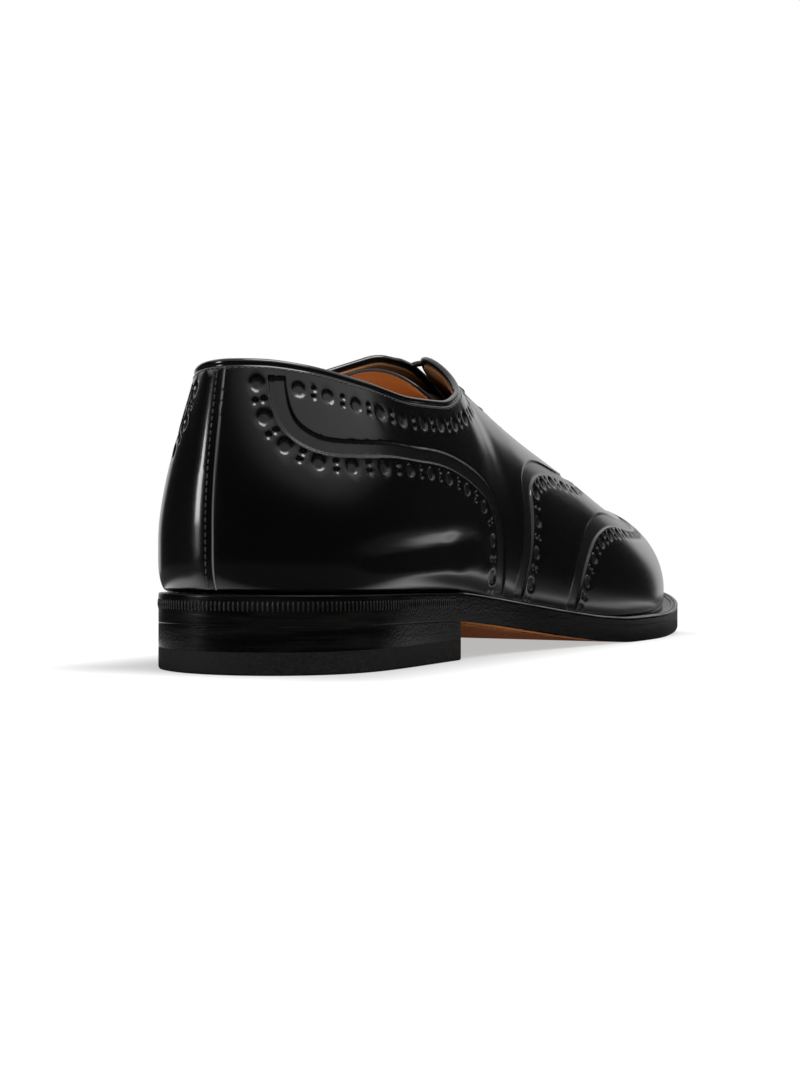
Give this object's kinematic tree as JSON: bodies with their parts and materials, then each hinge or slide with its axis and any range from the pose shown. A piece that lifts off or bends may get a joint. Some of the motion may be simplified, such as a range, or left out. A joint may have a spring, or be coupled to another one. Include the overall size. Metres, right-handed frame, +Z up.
{
  "type": "brogue oxford shoe",
  "caption": "Black leather lace-up oxford for the right foot: hollow one-piece upper, tongue, lace, insole, welted leather sole and stacked heel, standing on heel and forefoot.",
  "frame": {"origin": "on the floor under the middle of the shoe's box", "axes": "+X towards the toe, +Y towards the medial (inner) side, +Z up"},
  "size_m": [0.3006, 0.1004, 0.0923],
  "materials": {
    "sole_leather": "black waxed edge",
    "heel_rubber": "rough grey rubber",
    "black_calf": "polished black calf",
    "tan_lining": "smooth tan lining leather",
    "lace_cotton": "waxed black cotton"
  },
  "bodies": {
    "root": {"outsole": "sole_leather", "welt": "sole_leather", "heel_lift": "sole_leather", "heel_top_piece": "heel_rubber", "upper": "black_calf", "tongue": "black_calf", "insole": "tan_lining", "lace_bar_1": "lace_cotton", "lace_bar_2": "lace_cotton", "lace_bar_3": "lace_cotton", "lace_bar_4": "lace_cotton", "lace_bar_5": "lace_cotton"}
  },
  "joints": []
}
